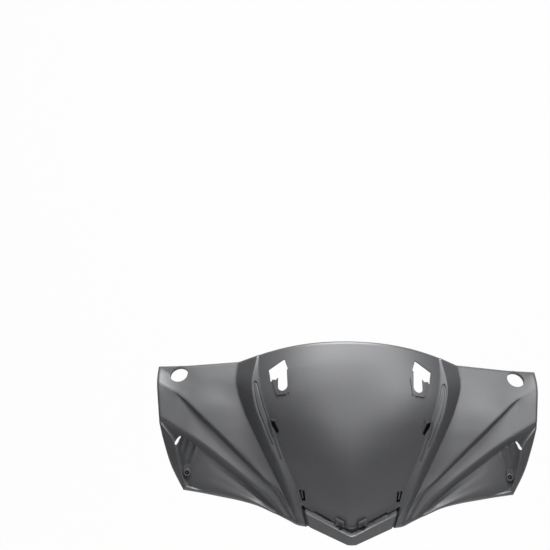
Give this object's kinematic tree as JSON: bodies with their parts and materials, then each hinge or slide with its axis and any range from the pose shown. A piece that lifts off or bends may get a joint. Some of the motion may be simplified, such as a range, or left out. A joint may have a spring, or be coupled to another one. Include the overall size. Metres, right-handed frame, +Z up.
{
  "type": "scooter handlebar cover",
  "caption": "Front cover for a small scooter's handlebar: central shield, stepped wings with lamp pockets, mirror stem holes and a pointed nose.",
  "frame": {"origin": "middle of the box round the cover", "axes": "+Z up as seen in front view, front faces -Y, +X to the right of someone looking at the front; mirror symmetric about X = 0"},
  "size_m": [0.443, 0.124, 0.2231],
  "materials": {
    "moulded_plastic": "satin grey, moulded"
  },
  "bodies": {
    "root": {"handlebar_cover": "moulded_plastic"}
  },
  "joints": []
}
